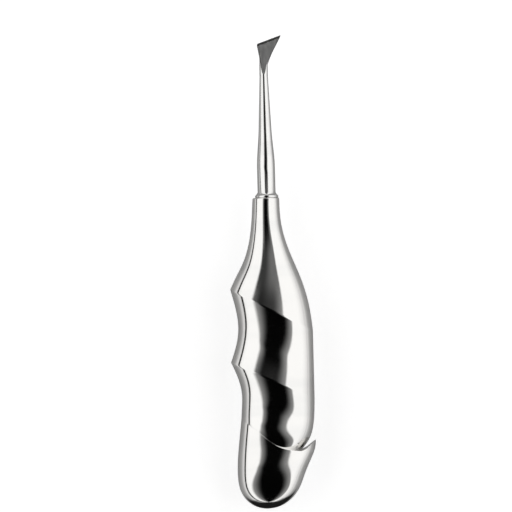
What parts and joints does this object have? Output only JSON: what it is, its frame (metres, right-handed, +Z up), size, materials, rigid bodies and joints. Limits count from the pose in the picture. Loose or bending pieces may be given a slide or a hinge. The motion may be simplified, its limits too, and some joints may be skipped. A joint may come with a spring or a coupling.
{
  "type": "dental elevator",
  "caption": "Polished steel tooth-root elevator with a pennant-shaped blade on a slender shank and a grip hollowed for the fingers.",
  "frame": {"origin": "under the middle of the instrument, on the surface it lies on", "axes": "+Y along the shank's axis towards the blade's tip, +X to the palm side of the grip, +Z up out of the blade's flat face"},
  "size_m": [0.0263, 0.1498, 0.0194],
  "materials": {
    "polished_steel": "mirror-polished stainless steel with a faint grain across the grip",
    "ground_steel": "polished stainless steel shank with a finely ground, satin blade face"
  },
  "bodies": {
    "root": {"handle": "polished_steel", "shank": "ground_steel"}
  },
  "joints": []
}
